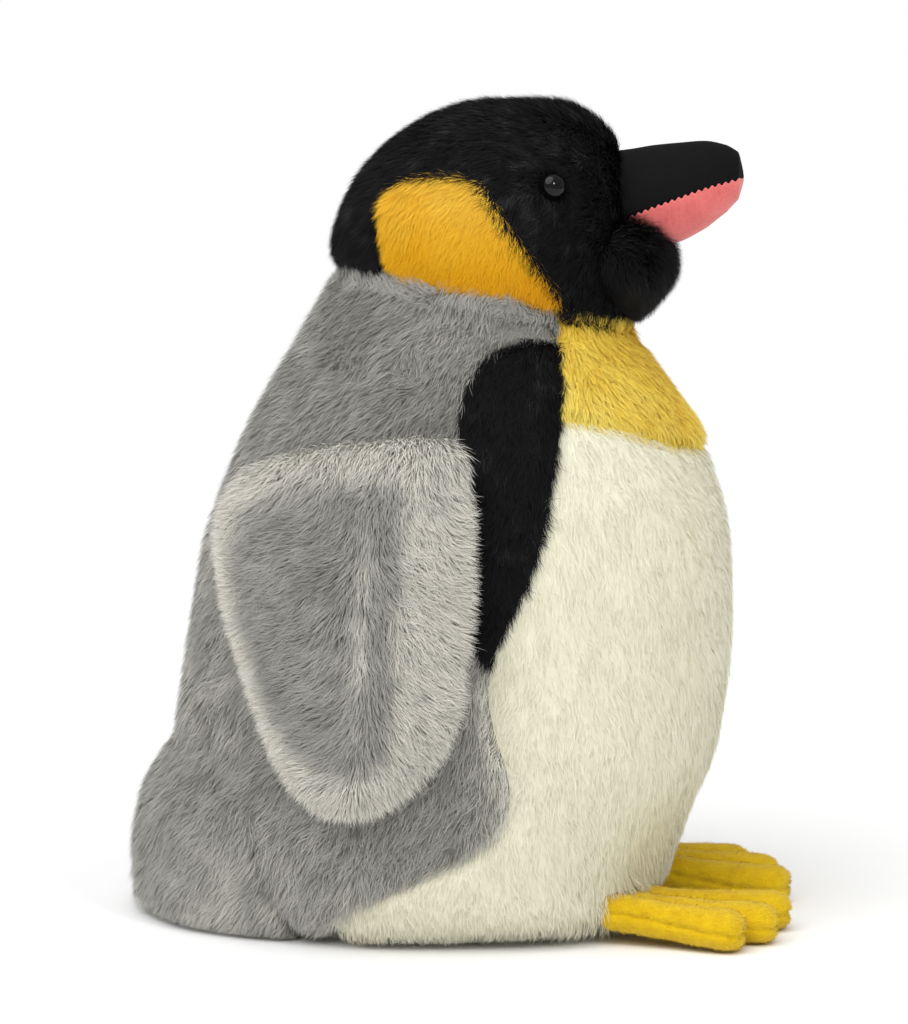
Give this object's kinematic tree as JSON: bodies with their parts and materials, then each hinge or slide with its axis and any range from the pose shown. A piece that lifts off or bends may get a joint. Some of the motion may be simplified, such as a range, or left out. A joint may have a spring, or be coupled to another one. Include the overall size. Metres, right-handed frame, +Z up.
{
  "type": "plush penguin",
  "caption": "Sitting soft-toy penguin with pile-fabric skin panels, stuffed head, beak, flippers and three-toed feet.",
  "frame": {"origin": "middle of the overall box, at the floor it sits on", "axes": "+Z up, the penguin faces -Y, its left side is +X"},
  "size_m": [0.1908, 0.231, 0.2845],
  "materials": {
    "fur_grey": "long silky pile, light tips",
    "fur_white": "short dense pile",
    "fur_black": "tousled glossy pile",
    "fur_yellow": "short dense pile",
    "fur_orange": "short dense pile, yellow above and orange below",
    "knit_black": "fine knit",
    "fleece_pink": "brushed fleece",
    "fleece_yellow": "brushed fleece",
    "stuffing": "polyester fibre",
    "eye": "glossy dome",
    "washer": "moulded"
  },
  "bodies": {
    "torso": {"body_stuffing": "stuffing", "back_left": "fur_grey", "back_right": "fur_grey", "belly_panel": "fur_white", "chest_panel": "fur_yellow", "stripe_left": "fur_black", "stripe_right": "fur_black", "base_panel": "fur_white", "tail_skin": "fur_grey", "tail_stuffing": "stuffing"},
    "head": {"head_side_left": "fur_black", "head_side_right": "fur_black", "head_gusset": "fur_black", "cheek_left": "fur_orange", "cheek_right": "fur_orange", "head_stuffing": "stuffing", "chin_skin": "fur_black", "chin_stuffing": "stuffing", "beak_upper": "knit_black", "beak_lower": "fleece_pink", "beak_stuffing": "stuffing", "eye_left": "eye", "eye_right": "eye", "eye_washer_left": "washer", "eye_washer_right": "washer"},
    "flipper_left": {"flipper_left_outer": "fur_grey", "flipper_left_inner": "fur_grey", "flipper_left_stuffing": "stuffing"},
    "flipper_right": {"flipper_right_outer": "fur_grey", "flipper_right_inner": "fur_grey", "flipper_right_stuffing": "stuffing"},
    "foot_left": {"foot_left_upper": "fleece_yellow", "foot_left_sole": "fleece_yellow", "foot_left_stuffing": "stuffing"},
    "foot_right": {"foot_right_upper": "fleece_yellow", "foot_right_sole": "fleece_yellow", "foot_right_stuffing": "stuffing"}
  },
  "joints": [
    {"name": "head_turn", "type": "hinge", "parent": "torso", "child": "head", "pos_m": [0, -0.00785, 0.21675], "axis": [0, -0.2189, 0.9758], "range_deg": [-12, 12], "stiffness_Nm_per_rad": 0.25},
    {"name": "flipper_left_raise", "type": "hinge", "parent": "torso", "child": "flipper_left", "pos_m": [0.06853, 0.02917, 0.17027], "axis": [0.2309, -0.957, 0.1754], "range_deg": [0, 75]},
    {"name": "flipper_right_raise", "type": "hinge", "parent": "torso", "child": "flipper_right", "pos_m": [-0.06853, 0.02917, 0.17027], "axis": [0.2309, 0.957, -0.1754], "range_deg": [0, 75]},
    {"name": "foot_left_flex", "type": "hinge", "parent": "torso", "child": "foot_left", "pos_m": [0.04243, -0.05962, 0.0135], "axis": [-0.8396, -0.5432, 0], "range_deg": [0, 25]},
    {"name": "foot_right_flex", "type": "hinge", "parent": "torso", "child": "foot_right", "pos_m": [-0.04243, -0.05962, 0.0135], "axis": [-0.8396, 0.5432, 0], "range_deg": [0, 25]}
  ]
}
